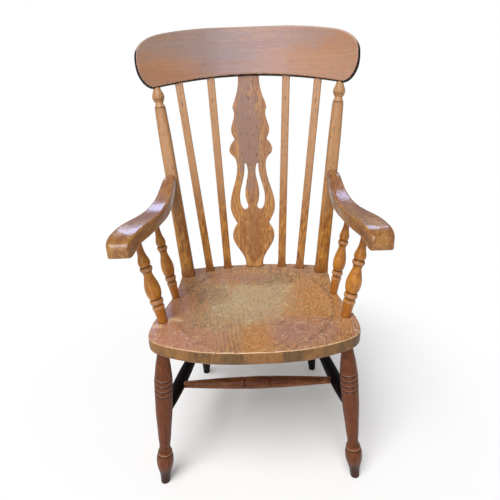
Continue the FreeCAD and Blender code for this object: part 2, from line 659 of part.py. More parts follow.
def build():
    pieces = {}

    front_leg = make_leg(front_leg_runs, FRONT_FOOT, FRONT_LEG_TOP)
    rear_leg = make_leg(rear_leg_runs, REAR_FOOT, REAR_LEG_TOP)
    front, rear = side_stretcher_ends()
    side_body = make_side_stretcher(front_leg, rear_leg)
    side_sockets = stretcher_tenons(front, rear, SOCKET_CLEARANCE)
    left, right = cross_stretcher_ends()
    cross_body = turned(cross_stretcher_runs((right - left).Length), left, right)
    cross_body = main_solid(cross_body.cut(side_body).cut(mirrored(side_body)))

    pieces["leg_front"] = main_solid(front_leg.cut(side_sockets[0]))
    pieces["leg_rear"] = main_solid(rear_leg.cut(side_sockets[1]))
    side_stretcher = joined(side_body, stretcher_tenons(front, rear))
    cross_socket = stretcher_tenons(left, right, SOCKET_CLEARANCE)[1]
    pieces["side_stretcher"] = main_solid(side_stretcher.cut(cross_socket))
    cross_stretcher = joined(cross_body, stretcher_tenons(left, right))

    under_seat_top = space_below(SEAT_HEIGHT).cut(seat_hollow())
    crest = make_crest()
    post = joined(make_post(under_seat_top, crest), post_tenons())
    pieces["post"] = main_solid(post.cut(arm_peg(SOCKET_CLEARANCE)))
    for name, lath in LATHS.items():
        pieces["lath_" + name] = joined(make_lath(lath, under_seat_top, crest), lath_tenons(lath))
    splat = joined(make_splat(under_seat_top, crest), splat_tenons())

    arm_sockets = [spindle_tenons(spindle, SOCKET_CLEARANCE)[1] for spindle in SPINDLES.values()]
    pieces["arm"] = main_solid(make_arm().cut([arm_peg(SOCKET_CLEARANCE)] + arm_sockets))
    pieces["arm_peg"] = arm_peg()
    for name, spindle in SPINDLES.items():
        pieces["spindle_" + name] = make_spindle(spindle, under_seat_top)

    seat_sockets = [
        leg_tenon(FRONT_FOOT, FRONT_LEG_TOP, SOCKET_CLEARANCE),
        leg_tenon(REAR_FOOT, REAR_LEG_TOP, SOCKET_CLEARANCE),
        post_tenons(SOCKET_CLEARANCE)[0],
        splat_tenons(SOCKET_CLEARANCE)[0],
    ]
    crest_sockets = [post_tenons(SOCKET_CLEARANCE)[1], splat_tenons(SOCKET_CLEARANCE)[1]]
    for lath in LATHS.values():
        foot, top = lath_tenons(lath, SOCKET_CLEARANCE)
        seat_sockets.append(foot)
        crest_sockets.append(top)
    for spindle in SPINDLES.values():
        seat_sockets.append(spindle_tenons(spindle, SOCKET_CLEARANCE)[0])

    nodes = {
        "seat": socketed(make_seat(), seat_sockets),
        "crest_rail": socketed(crest, crest_sockets),
        "splat": splat,
        "cross_stretcher": cross_stretcher,
    }
    for name, shape in pieces.items():
        nodes[name + "_right"] = shape
        nodes[name + "_left"] = mirrored(shape)
    return nodes


def write(nodes):
    # The origin is on the floor under the middle of the chair's outline
    box = Part.makeCompound(list(nodes.values())).optimalBoundingBox()
    shift = point(-(box.XMin + box.XMax) / 2, -(box.YMin + box.YMax) / 2, 0)
    os.makedirs("parts", exist_ok=True)
    for name, shape in nodes.items():
        moved = shape.translated(shift)
        moved.exportStep("parts/" + name + ".step")
        print(name, "solids", len(moved.Solids), "valid", moved.isValid(), "volume", round(moved.Volume))
    print("shift", round(shift.x, 3), round(shift.y, 3), "height", round(box.ZMax - box.ZMin, 2))


write(build())
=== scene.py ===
import bmesh
import bpy
import math
from bpy.props import FloatProperty, FloatVectorProperty, PointerProperty
from mathutils import Matrix, Vector, noise


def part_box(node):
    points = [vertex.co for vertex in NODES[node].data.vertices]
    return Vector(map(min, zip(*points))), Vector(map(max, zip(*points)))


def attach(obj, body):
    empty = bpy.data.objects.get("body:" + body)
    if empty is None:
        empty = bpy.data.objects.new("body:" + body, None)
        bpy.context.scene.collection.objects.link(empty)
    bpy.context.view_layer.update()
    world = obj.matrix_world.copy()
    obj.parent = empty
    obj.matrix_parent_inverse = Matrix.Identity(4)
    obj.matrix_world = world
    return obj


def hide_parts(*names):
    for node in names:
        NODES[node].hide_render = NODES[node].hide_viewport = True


# The dressing of an old high-backed captain's chair in elm and beech: its waxed and worn wood, and
# the studio it stands in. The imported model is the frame, in metres, and faces -Y.

bl_info = {
    "name": "Captains Chair Dressing",
    "version": (1, 0, 0),
    "blender": (4, 5, 0),
    "location": "View3D > Sidebar > Chair",
    "description": "Dresses the frame of a captains chair in old elm and beech",
    "category": "Add Mesh",
}

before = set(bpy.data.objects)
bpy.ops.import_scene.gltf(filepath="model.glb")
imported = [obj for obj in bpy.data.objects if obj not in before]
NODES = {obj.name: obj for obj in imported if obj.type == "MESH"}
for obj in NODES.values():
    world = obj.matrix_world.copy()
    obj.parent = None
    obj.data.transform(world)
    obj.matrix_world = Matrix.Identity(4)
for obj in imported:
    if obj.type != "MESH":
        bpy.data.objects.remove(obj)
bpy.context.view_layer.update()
MM = 0.001
SIDES = ("left", "right")
WHITE = (1, 1, 1, 1)

# How dark a fleck is beside the wood's grain lines
FLECK_SHADE = 0.35
# Mean slope from a vertex to its neighbours, on a surface that counts as flat and on a sharp arris
FLAT_SLOPE = 0.05
SHARP_SLOPE = 0.17


def linear(hex_colour):
    """An sRGB hex colour as the linear RGBA that the shaders take."""
    channels = [int(hex_colour[i:i + 2], 16) / 255 for i in (1, 3, 5)]
    curved = [v / 12.92 if v <= 0.04045 else ((v + 0.055) / 1.055) ** 2.4 for v in channels]
    return curved + [1.0]


def colour(name, description, hex_colour):
    return FloatVectorProperty(
        name=name, description=description, subtype="COLOR", size=4, min=0, max=1, default=linear(hex_colour)
    )


def length(name, description, default):
    return FloatProperty(name=name, description=description, unit="LENGTH", default=default, min=0.0)


class ChairColours(bpy.types.PropertyGroup):
    """The colours of each kind of wood on the chair."""

    seat_light: colour("Seat Light", "Early wood of the seat's elm", "#BF8C5C")
    seat_dark: colour("Seat Dark", "Late wood of the seat's elm", "#85583A")
    seat_patina: colour("Seat Patina", "Pinkish polish left at the seat's rim", "#B47C64")
    seat_worn: colour("Seat Worn", "Bare, greyed wood where people sit", "#B29C79")
    seat_orange: colour("Seat Orange", "Bright polish at the right and in front", "#B57A3B")
    seat_mauve: colour("Seat Mauve", "Bloom on the polish at the front right", "#9F7164")
    seat_stain: colour("Seat Stain", "Old spills in the dish", "#6E4E32")
    seat_chip: colour("Seat Chip", "Fresh wood in the chips and scratches", "#DDBA8E")
    seat_edge: colour("Seat Edge", "Wood of the seat's edge", "#795725")
    seat_pores: colour("Seat Pores", "Open pores of the end grain", "#4B2E10")
    crest_light: colour("Crest Light", "Early wood of the crest rail", "#A97F5C")
    crest_orange: colour("Crest Orange", "Warmer polish towards the ends", "#AD744B")
    crest_dark: colour("Crest Dark", "Late wood of the crest rail", "#966B51")
    crest_patina: colour("Crest Patina", "Grey-brown streaks of old polish", "#907B73")
    # Crest Edge is near-black: a dark stain, and painted shade on the crest's under edge and ends, which
    # face away from the light
    crest_edge_stain_and_shade: colour("Crest Edge", "Dark stain on the crest's under edge", "#140C08")
    splat_light: colour("Splat Light", "Golden wood of the splat", "#C78F4D")
    splat_dark: colour("Splat Dark", "Grain lines of the splat", "#905A26")
    splat_patina: colour("Splat Patina", "Greyish mauve film up the splat", "#937160")
    back_light: colour("Back Light", "Light wood of the posts and laths", "#C58A3A")
    back_dark: colour("Back Dark", "Grain lines of the posts and laths", "#7D4615")
    back_patina: colour("Back Patina", "Pinkish, faded wood high on the back", "#B98D66")
    arm_light: colour("Arm Light", "Light wood of the arms", "#B48240")
    arm_dark: colour("Arm Dark", "Grain ticks and worn hollows of the arms", "#77441D")
    arm_patina: colour("Arm Patina", "Reddish polish on the arms", "#85512F")
    spindle_light: colour("Spindle Light", "Golden wood of the arm spindles", "#DD9834")
    spindle_dark: colour("Spindle Dark", "Grain lines of the arm spindles", "#955A1A")
    spindle_patina: colour("Spindle Patina", "Reddish polish on the spindles", "#A46023")
    # Ring Worn is bare pale wood, and also a painted highlight on the proud rings and arrises
    ring_worn_and_highlight: colour("Ring Worn", "Bare pale wood on the proud rings", "#B48E74")
    # The front legs are dark red-brown wood, darkened further as painted shade from the seat above
    leg_light: colour("Leg Light", "Warm wood of the front legs", "#7D441E")
    leg_dark: colour("Leg Dark", "Dark stain in the front legs' grain", "#441D0B")
    leg_patina: colour("Leg Patina", "Red-brown polish of the front legs", "#653117")
    leg_foot: colour("Leg Foot", "Scuffed dark wood of the feet", "#2A0A03")
    rail_light: colour("Stretcher Light", "Worn wood on the cross stretcher", "#A76935")
    rail_dark: colour("Stretcher Dark", "Dark stain on the cross stretcher", "#4A2410")
    rail_patina: colour("Stretcher Patina", "Old varnish of the cross stretcher", "#5E311B")
    # The rear legs and side stretchers are near-black: their own dark wood with painted shade from the seat
    # above
    shade_light: colour("Under Light", "Lighter wood of side stretchers and rear legs", "#1D1413")
    shade_dark: colour("Under Dark", "Black-brown stain of side stretchers and rear legs", "#0C0708")
    # Dust and old wax in the hollows, which also serves as painted shade there: hollows, grooves and joints
    # are darkened towards it
    dirt_and_shade: colour("Dirt", "Dust and old wax in the hollows", "#201008")


class ChairGrain(bpy.types.PropertyGroup):
    """The real sizes of the wood's figure."""

    elm_ring: length("Elm Ring", "Spacing of elm's growth rings", 6.5 * MM)
    beech_ring: length("Beech Ring", "Spacing of beech's growth rings", 4.5 * MM)
    fibre_width: length("Fibre Width", "Width of a visible bundle of fibres", 1.6 * MM)
    streak_width: length("Streak Width", "Width of a streak of colour along the grain", 9.0 * MM)
    mottle_size: length("Mottle Size", "Size of the small blotches in the polish", 7.0 * MM)
    patch_size: length("Patch Size", "Size of the larger worn patches", 40.0 * MM)
    fleck_width: length("Fleck Width", "Width of a dark fleck, drawn coarse enough to be seen", 1.8 * MM)
    # The crevice is how far the dirt and the painted shade reach out of a hollow
    crevice: length("Crevice", "How far dirt reaches out of a hollow", 5.0 * MM)


def strength(name, description, default):
    return FloatProperty(name=name, description=description, default=default, min=0.0)


class ChairStudio(bpy.types.PropertyGroup):
    """The studio round the chair."""

    key: strength("Key", "Strength of the wide lamp high in front", 2.55)
    fill: strength("Fill", "Power in watts of the lamp by the camera", 36.0)
    back_window: strength("Back Window", "Power in watts of each window that an arm mirrors", 6.0)
    front_window: strength("Front Window", "Power in watts of the window that the crest mirrors", 14.0)
    sky: strength("Sky", "Strength of the even light from all round", 0.3)
    floor_lift: strength("Floor Lift", "Brightness added to the floor in the shadow", 0.12)
    floor_white: colour("Floor", "Paint of the studio floor", "#E6E6E6")
    floor_reach: length("Floor Reach", "Radius over which the floor shows the chair's shadow", 0.95)


def add_node(tree, kind, settings=None, inputs=None):
    """Adds one shader node with its settings, values and links."""
    node = tree.nodes.new(kind)
    for name, value in (settings or {}).items():
        setattr(node, name, value)
    for socket, value in (inputs or {}).items():
        if isinstance(value, bpy.types.NodeSocket):
            tree.links.new(value, node.inputs[socket])
        else:
            node.inputs[socket].default_value = value
    return node


def new_material(name):
    material = bpy.data.materials.new(name)
    material.use_nodes = True
    material.node_tree.nodes.clear()
    return material, material.node_tree


def blend_colours(tree, factor, first, second):
    node = add_node(tree, "ShaderNodeMix", {"data_type": "RGBA"}, {0: factor, 6: first, 7: second})
    return node.outputs[2]


def remap(tree, value, low, high, to_low=0.0, to_high=1.0):
    inputs = {"Value": value, "From Min": low, "From Max": high, "To Min": to_low, "To Max": to_high}
    return add_node(tree, "ShaderNodeMapRange", {"interpolation_type": "SMOOTHSTEP"}, inputs).outputs[0]


def both(tree, first, second):
    """The product of two masks."""
    return add_node(tree, "ShaderNodeMath", {"operation": "MULTIPLY"}, {0: first, 1: second}).outputs[0]


def distance(tree, value, place):
    """How far a value is from a place, either way."""
    away = add_node(tree, "ShaderNodeMath", {"operation": "SUBTRACT"}, {0: value, 1: place}).outputs[0]
    return add_node(tree, "ShaderNodeMath", {"operation": "ABSOLUTE"}, {0: away}).outputs[0]


def placed(tree, vector, centre, reach):
    """Coordinates measured from a centre, 1 at the reach along each axis."""
    return add_node(tree, "ShaderNodeMapping", {"vector_type": "TEXTURE"}, {
        "Vector": vector, "Location": centre, "Scale": reach,
    }).outputs[0]


def main_axis(node):
    """The centre of a node's box and the direction, upward or to the right, that it runs in."""
    low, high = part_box(node)
    middle = (low + high) / 2
    spread = Matrix.Diagonal((0, 0, 0))
    # A seventh of the vertices shows the direction well enough
    for vertex in list(NODES[node].data.vertices)[::7]:
        away = vertex.co - middle
        for row in range(3):
            for column in range(3):
                spread[row][column] += away[row] * away[column]
    # Repeated products turn any start towards the direction in which the node is longest
    along = Vector((0.5, 0.4, 0.77))
    for step in range(60):
        along = (spread @ along).normalized()
    level = abs(along.z) <= 0.2
    if along.z < -0.2 or (level and along.x + along.y < 0):
        along = -along
    return middle, along


def grain_frame(middle, along, face=(0, 0, 1)):
    """Places a pattern: X along the grain, Z as near as can be out of the face."""
    x = Vector(along).normalized()
    y = Vector(face).cross(x).normalized()
    turn = Matrix((x, y, x.cross(y))).transposed().to_euler()
    return {"Location": tuple(middle), "Rotation": tuple(turn)}


class Wood:
    """One waxed wood: its colours, its grain and what age did to it.

    The ring is the spacing of the growth rings, the pith their centre's distance and the tilt its slope
    in radians. The relief is in millimetres, and all others are shares or shader values.
    """

    ring = 4.5 * MM
    pith = 0.05
    tilt = 0.04
    figure = 0.12
    streak = 0.5
    mottle = 0.3
    fleck = 0.5
    patina_amount = 0.6
    patch_stretch = 2.5
    gloss = 0.2
    specular = 0.5
    roughness = 0.42
    relief = 0.2

    def __init__(self, light, dark, patina, **settings):
        self.light = light
        self.dark = dark
        self.patina = patina
        for name, value in settings.items():
            setattr(self, name, value)


def stretched_noise(tree, vector, width, ratio, offset=0.0, detail=4.0):
    """Noise whose grains are about width across, and longer along X by the ratio."""
    at = add_node(tree, "ShaderNodeMapping", {}, {
        "Vector": vector, "Location": (offset, offset / 2, offset / 3), "Scale": (1 / ratio, 1, 1),
    }).outputs[0]
    return add_node(tree, "ShaderNodeTexNoise", {}, {
        "Vector": at, "Scale": 0.7 / width, "Detail": detail, "Roughness": 0.6,
    }).outputs["Fac"]


def weighted_sum(tree, terms):
    total = 0.0
    for value, weight in terms:
        total = add_node(tree, "ShaderNodeMath", {"operation": "MULTIPLY_ADD"}, {
            0: value, 1: weight, 2: total,
        }).outputs[0]
    return total


def wood_fields(tree, wood, place, bent):
    """The patterns of a wood. A bent piece carries its own grain coordinates, others use Object ones."""
    grain = bpy.context.scene.chair_grain
    coords = add_node(tree, "ShaderNodeTexCoord").outputs["Object"]
    source = coords
    if bent:
        source = add_node(tree, "ShaderNodeAttribute", {"attribute_name": "grain"}).outputs["Vector"]
    local = add_node(tree, "ShaderNodeMapping", {"vector_type": "TEXTURE"}, {
        "Vector": source, **place,
    }).outputs[0]

    # Trees don't grow straight: the figure wanders by a centimetre over a hand's breadth
    wander = add_node(tree, "ShaderNodeTexNoise", {}, {"Vector": local, "Scale": 9.0, "Detail": 3.0})
    grown = add_node(tree, "ShaderNodeVectorMath", {"operation": "MULTIPLY_ADD"}, {
        0: wander.outputs["Color"], 1: (0.0, 0.02, 0.02), 2: local,
    }).outputs[0]

    # Growth rings are cylinders round a pith that runs nearly along the piece
    rings_at = add_node(tree, "ShaderNodeMapping", {}, {
        "Vector": grown, "Location": (0, 0, wood.pith), "Rotation": (0, wood.tilt, wood.tilt / 2),
    }).outputs[0]
    rings = add_node(tree, "ShaderNodeTexWave", {
        "wave_type": "RINGS", "rings_direction": "X", "wave_profile": "SAW",
    }, {
        "Vector": rings_at, "Scale": 0.314 / wood.ring, "Distortion": 2.5, "Detail": 2.5,
        "Detail Scale": 0.5, "Detail Roughness": 0.55,
    }).outputs["Fac"]
    return {
        "coords": coords,
        "local": local,
        "rings": rings,
        "fibres": stretched_noise(tree, grown, grain.fibre_width, 40),
        "streaks": stretched_noise(tree, grown, grain.streak_width, 14, 0.37),
        "flecks": stretched_noise(tree, local, grain.fleck_width, 8, 0.73, 2.0),
        "mottle": stretched_noise(tree, local, grain.mottle_size, 1.6, 0.19),
        "patches": stretched_noise(tree, grown, grain.patch_size, wood.patch_stretch, 0.53, 6.0),
    }


def wood_colours(tree, wood, fields):
    tone = weighted_sum(tree, [
        (fields["fibres"], 0.5), (fields["streaks"], wood.streak), (fields["rings"], wood.figure),
        (fields["mottle"], wood.mottle),
    ])
    # Each noise is near a half on average, and the sum swings by about a fifth round that
    middle = (0.5 + wood.streak + wood.figure + wood.mottle) / 2
    tone = remap(tree, tone, middle - 0.2, middle + 0.2)
    colours = blend_colours(tree, tone, wood.light, wood.dark)
    patina = remap(tree, fields["patches"], 0.42, 0.62, 0.0, wood.patina_amount)
    return blend_colours(tree, patina, colours, wood.patina)


def wood_surface(tree, wood, fields, colours):
    """Flecks, dirt and painted shade in the hollows, a fine relief and the wax over all."""
    chair = bpy.context.scene.chair_colours
    grain = bpy.context.scene.chair_grain
    fleck_mask = remap(tree, fields["flecks"], 0.6, 0.7, 0.0, wood.fleck)
    fleck_colour = [channel * FLECK_SHADE for channel in wood.dark[:3]] + [1.0]
    colours = blend_colours(tree, fleck_mask, colours, fleck_colour)
    # Ambient occlusion darkens the hollows towards the dirt colour: dirt, and painted shade where less light
    # reaches
    hollow = add_node(tree, "ShaderNodeAmbientOcclusion", {"samples": 6}, {"Distance": grain.crevice})
    open_to_light = remap(tree, hollow.outputs["AO"], 0.3, 0.9)
    colours = blend_colours(tree, open_to_light, chair.dirt_and_shade, colours)
    height = weighted_sum(tree, [
        (fields["fibres"], 0.6), (fields["rings"], wood.figure), (fleck_mask, -0.8),
    ])
    bump = add_node(tree, "ShaderNodeBump", {}, {
        "Height": height, "Strength": 0.35, "Distance": wood.relief * MM,
    })
    rough = remap(tree, fields["patches"], 0.3, 0.7, wood.roughness - 0.07, wood.roughness + 0.08)
    shader = add_node(tree, "ShaderNodeBsdfPrincipled", {}, {
        "Base Color": colours, "Roughness": rough, "Normal": bump.outputs[0],
        "Specular IOR Level": wood.specular, "Coat Weight": wood.gloss, "Coat Roughness": 0.14,
    })
    add_node(tree, "ShaderNodeOutputMaterial", {}, {"Surface": shader.outputs[0]})


def wood_material(name, wood, place, bent=False, marks=None):
    material, tree = new_material(name)
    fields = wood_fields(tree, wood, place, bent)
    colours = wood_colours(tree, wood, fields)
    if marks:
        colours = marks(tree, fields, colours)
    wood_surface(tree, wood, fields, colours)
    return material


def add_patch(tree, fields, colours, centre, reach, tint, amount):
    """A soft patch of another colour round a point, its border broken up by blotches and fibres."""
    near = placed(tree, fields["coords"], centre, reach)
    ball = add_node(tree, "ShaderNodeTexGradient", {"gradient_type": "SPHERICAL"}, {
        "Vector": near,
    }).outputs["Fac"]
    ragged = weighted_sum(tree, [
        (fields["patches"], 1.4), (fields["mottle"], 2.4), (fields["fibres"], 0.8), (ball, 1.0),
    ])
    # The three noises add up to 2.3 on average, so the border lies where they pass that
    mask = remap(tree, ragged, 2.25, 3.0, 0.0, amount)
    inside = remap(tree, ball, 0.0, 0.25)
    return blend_colours(tree, both(tree, mask, inside), colours, tint)


def add_line(tree, fields, colours, centre, reach, half_width, tint, amount):
    """A ragged line of another colour along an oval round a point, its half width a share of the reach."""
    near = placed(tree, fields["coords"], centre, reach)
    out = add_node(tree, "ShaderNodeVectorMath", {"operation": "LENGTH"}, {0: near}).outputs["Value"]
    uneven = weighted_sum(tree, [(fields["mottle"], 0.06), (out, 1.0)])
    line = remap(tree, distance(tree, uneven, 1.03), 0.0, half_width, amount, 0.0)
    broken = remap(tree, fields["patches"], 0.35, 0.6)
    return blend_colours(tree, both(tree, line, broken), colours, tint)


def add_scratches(tree, fields, colours, size, width, tint, amount):
    """Fine curling scratches: the level lines of a twisted noise, where the polish has gone."""
    twisted = add_node(tree, "ShaderNodeTexNoise", {}, {
        "Vector": fields["coords"], "Scale": 1 / size, "Detail": 3.0, "Distortion": 1.5,
    }).outputs["Fac"]
    lines = remap(tree, distance(tree, twisted, 0.5), 0.0, 0.5 * width / size, amount, 0.0)
    polish = weighted_sum(tree, [(fields["mottle"], 0.5), (fields["patches"], 0.5)])
    bare = remap(tree, polish, 0.42, 0.56)
    return blend_colours(tree, both(tree, lines, bare), colours, tint)


def add_wear_and_highlight(tree, fields, colours, tint, amount):
    """Paler wood along the arrises, which each reshaped piece carries as an attribute: bare wood, and on the
    arms and the crest a painted highlight too.
    """
    worn = add_node(tree, "ShaderNodeAttribute", {"attribute_name": "arris"}).outputs["Fac"]
    uneven = weighted_sum(tree, [(fields["mottle"], 0.8), (worn, 1.0)])
    mask = remap(tree, uneven, 0.75, 1.3, 0.0, amount)
    return blend_colours(tree, mask, colours, tint)


def add_band(tree, fields, colours, place, half_width, tint, amount):
    """A band of another colour across the grain, at a place along it."""
    along = add_node(tree, "ShaderNodeSeparateXYZ", {}, {0: fields["local"]}).outputs["X"]
    away = distance(tree, along, place)
    mask = remap(tree, away, half_width * 0.6, half_width * 1.2, amount, 0.0)
    return blend_colours(tree, mask, colours, tint)


def add_rise(tree, fields, colours, low, high, tint, amount):
    """Another colour that comes in unevenly from low up to high, or downward where high is the lower."""
    height = add_node(tree, "ShaderNodeSeparateXYZ", {}, {0: fields["coords"]}).outputs["Z"]
    uneven = weighted_sum(tree, [(fields["patches"], (high - low) * 0.8), (height, 1.0)])
    # The noise lifts the height by half its weight on average
    lift = (high - low) * 0.4
    mask = remap(tree, uneven, low + lift, high + lift, 0.0, amount)
    return blend_colours(tree, mask, colours, tint)


def bands(start, rows):
    """Bands along a turned piece: each at a height and with a half width, in millimetres from start."""
    return [(add_band, start + height * MM, half * MM, tint, amount) for height, half, tint, amount in rows]


def dress(node, material):
    """Gives a CAD node, whose shape is right, its finish."""
    for slot in NODES[node].material_slots:
        slot.material = material


def worn_copy(node, name, grit, material):
    """A closed, evenly meshed copy of a node with softened arrises, to be shaped further."""
    mesh = bpy.data.meshes.new(name)
    shape = bmesh.new()
    shape.from_mesh(NODES[node].data)
    bmesh.ops.remove_doubles(shape, verts=shape.verts, dist=1e-6)
    shape.to_mesh(mesh)
    shape.free()
    piece = bpy.data.objects.new(name, mesh)
    bpy.context.scene.collection.objects.link(piece)
    remesh = piece.modifiers.new("even", "REMESH")
    remesh.mode = "VOXEL"
    remesh.voxel_size = grit
    soften = piece.modifiers.new("soften", "SMOOTH")
    soften.factor = 0.5
    soften.iterations = 3
    depsgraph = bpy.context.evaluated_depsgraph_get()
    piece.data = bpy.data.meshes.new_from_object(piece.evaluated_get(depsgraph))
    piece.modifiers.clear()
    bpy.data.meshes.remove(mesh)
    piece.data.name = name
    piece.data.materials.clear()
    piece.data.materials.append(material)
    piece.data.shade_smooth()
    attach(piece, "root")
    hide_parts(node)
    return piece


def wear(piece, depth, spread):
    """Moves the surface in and out a little, as hands, planes and years leave it."""
    moved = []
    for vertex in piece.data.vertices:
        swing = noise.fractal(vertex.co / spread, 1.0, 2.0, 3)
        moved.append(vertex.co + vertex.normal * swing * depth)
    for vertex, place in zip(piece.data.vertices, moved):
        vertex.co = place
    piece.data.update()


def write_attribute(piece, name, kind, field, values):
    piece.data.attributes.new(name, kind, "POINT").data.foreach_set(field, values)


def mark_arrises(piece):
    """Writes how convex the surface is at each vertex: 1 on a sharp arris, 0 where it is flat."""
    vertices = piece.data.vertices
    bulge = [0.0] * len(vertices)
    count = [0] * len(vertices)
    for edge in piece.data.edges:
        first, second = edge.vertices
        step = (vertices[second].co - vertices[first].co).normalized()
        bulge[first] -= step.dot(vertices[first].normal)
        bulge[second] += step.dot(vertices[second].normal)
        count[first] += 1
        count[second] += 1
    arris = []
    for total, neighbours in zip(bulge, count):
        share = (total / neighbours - FLAT_SLOPE) / (SHARP_SLOPE - FLAT_SLOPE)
        arris.append(min(1.0, max(0.0, share)))
    write_attribute(piece, "arris", "FLOAT", "value", arris)


def finish_faces(piece, material, test):
    """Gives a second finish to the faces that pass a test on their normal and centre."""
    piece.data.materials.append(material)
    index = len(piece.data.materials) - 1
    for face in piece.data.polygons:
        if test(face.normal, face.center):
            face.material_index = index


def marks_of(steps):
    """A function that lays a list of marks over a wood, in order."""
    def lay(tree, fields, colours):
        for step, *values in steps:
            colours = step(tree, fields, colours, *values)
        return colours
    return lay


class CHAIR_OT_seat(bpy.types.Operator):
    """Shapes and finishes the dished elm seat board"""

    bl_idname = "chair.seat"
    bl_label = "Seat Board"

    def execute(self, context):
        tints = context.scene.chair_colours
        grain = context.scene.chair_grain
        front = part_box("seat")[0].y
        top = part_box("seat")[1].z

        def patch(x, from_front, reach_x, reach_y, tint, amount):
            return (add_patch, (x, front + from_front, top), (reach_x, reach_y, 0.1), tint, amount)

        dish = (0.0, front + 0.218, top)
        dish_reach = (0.203, 0.222, 0.2)
        marks = marks_of([
            (add_patch, dish, (0.26, 0.3, 0.1), tints.seat_worn, 0.45),
            patch(-0.235, 0.17, 0.09, 0.2, tints.seat_patina, 0.9),
            patch(-0.17, 0.05, 0.15, 0.08, tints.seat_patina, 0.9),
            patch(0.15, 0.2, 0.13, 0.22, tints.seat_orange, 0.8),
            patch(0.09, 0.08, 0.14, 0.1, tints.seat_mauve, 0.8),
            patch(0.006, 0.05, 0.06, 0.13, tints.seat_orange, 0.9),
            patch(-0.012, 0.27, 0.15, 0.17, tints.seat_worn, 0.95),
            patch(-0.123, 0.28, 0.08, 0.06, tints.seat_stain, 0.45),
            patch(0.03, 0.37, 0.12, 0.05, tints.seat_stain, 0.5),
            patch(-0.06, 0.38, 0.12, 0.05, tints.seat_mauve, 0.6),
            patch(-0.2, 0.15, 0.035, 0.018, tints.seat_chip, 0.9),
            patch(-0.24, 0.12, 0.025, 0.015, tints.seat_chip, 0.8),
            (add_line, dish, dish_reach, 0.035, tints.seat_stain, 0.55),
            (add_scratches, 26 * MM, 2.2 * MM, tints.seat_chip, 0.6),
            (add_scratches, 41 * MM, 2.6 * MM, tints.seat_pores, 0.4),
            (add_wear_and_highlight, tints.seat_chip, 0.8),
        ])
        elm = Wood(
            tints.seat_light, tints.seat_dark, tints.seat_stain, ring=grain.elm_ring, pith=0.09, tilt=0.09,
            figure=0.3, streak=0.3, mottle=1.3, fleck=0.6, patina_amount=0.3, roughness=0.46, gloss=0.1,
            relief=0.35,
        )
        place = grain_frame((0.05, 0, top), (0, 1, 0))
        material = wood_material("elm_waxed_and_sat_bare", elm, place, marks=marks)
        seat = worn_copy("seat", "seat_board", 2.6 * MM, material)
        wear(seat, 0.5 * MM, 0.045)
        mark_arrises(seat)

        # The saw-cut edge is open, oily end grain with short upright ticks
        end_grain = Wood(
            tints.seat_edge, tints.seat_pores, tints.seat_orange, pith=0.03, figure=0.1, streak=0.3,
            mottle=0.5, fleck=0.6, patina_amount=0.4, gloss=0.05, roughness=0.5,
        )
        place = grain_frame((0, front, top), (0, 0, 1), (0, -1, 0))
        edge_wood = wood_material("elm_end_grain_oiled", end_grain, place)

        def is_edge(normal, centre):
            return abs(normal.z) < 0.7 and centre.z < top - 3 * MM

        finish_faces(seat, edge_wood, is_edge)
        return {"FINISHED"}


class CHAIR_OT_crest(bpy.types.Operator):
    """Shapes and finishes the bent crest rail"""

    bl_idname = "chair.crest"
    bl_label = "Crest Rail"

    # The bend: the front face's radius, and how far the rail leans back as it rises
    bend_radius = 0.698
    rake = 0.2537

    def execute(self, context):
        tints = context.scene.chair_colours
        grain = context.scene.chair_grain
        low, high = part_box("crest_rail")
        middle = (low.z + high.z) / 2
        marks = marks_of([
            (add_patch, (0.2, low.y + 0.05, middle), (0.2, 0.3, 0.14), tints.crest_orange, 0.7),
            (add_patch, (-0.23, low.y + 0.05, middle - 0.04), (0.12, 0.3, 0.09), tints.crest_orange, 0.5),
            (add_patch, (-0.12, low.y + 0.1, middle + 0.04), (0.2, 0.3, 0.06), tints.crest_patina, 0.55),
            (add_patch, (0.16, low.y + 0.1, middle + 0.045), (0.12, 0.3, 0.04), tints.crest_patina, 0.5),
            # Paler arrises on the crest: wear, and a painted highlight along them
            (add_wear_and_highlight, tints.ring_worn_and_highlight, 0.5),
        ])
        elm = Wood(
            tints.crest_light, tints.crest_dark, tints.crest_patina, ring=grain.elm_ring * 2, pith=0.12,
            tilt=0.03, figure=0.15, streak=1.0, mottle=0.5, fleck=0.3, patina_amount=0.6, patch_stretch=9,
            roughness=0.38, gloss=0.3, relief=0.15,
        )
        place = grain_frame((0, 0, 0), (1, 0, 0), (0, 1, 0))
        material = wood_material("elm_crest_french_polished", elm, place, bent=True, marks=marks)
        crest = worn_copy("crest_rail", "crest_board", 2.0 * MM, material)
        wear(crest, 0.35 * MM, 0.06)
        mark_arrises(crest)
        self.unroll_grain(crest)

        # The under edge and the ends are finished near-black: dark stain and painted shade, as they face
        # down and away from the light
        stain = Wood(
            tints.crest_edge_stain_and_shade, tints.crest_edge_stain_and_shade, tints.crest_edge_stain_and_shade, figure=0.0, gloss=0.0, specular=0.15,
            roughness=0.6,
        )
        stained_and_shaded_edge = wood_material("elm_edge_stain_and_painted_shade", stain, place, bent=True)

        def is_edge(normal, centre):
            return normal.z < 0.4 and abs(normal.dot(self.facing(centre))) < 0.8

        finish_faces(crest, stained_and_shaded_edge, is_edge)
        return {"FINISHED"}

    def facing(self, place):
        turn = math.asin(place.x / self.bend_radius)
        return Vector((math.sin(turn), math.cos(turn), -self.rake * math.cos(turn))).normalized()

    def unroll_grain(self, crest):
        """Gives each vertex its place on the board as it was before it was bent."""
        leans = [v.co.y - v.co.z * self.rake for v in crest.data.vertices if abs(v.co.x) < 10 * MM]
        centre_line = min(leans) - self.bend_radius
        flat = []
        for vertex in crest.data.vertices:
            x, y, z = vertex.co
            away = y - z * self.rake - centre_line
            flat += [math.atan2(x, away) * self.bend_radius, math.hypot(x, away) - self.bend_radius, z]
        write_attribute(crest, "grain", "FLOAT_VECTOR", "vector", flat)


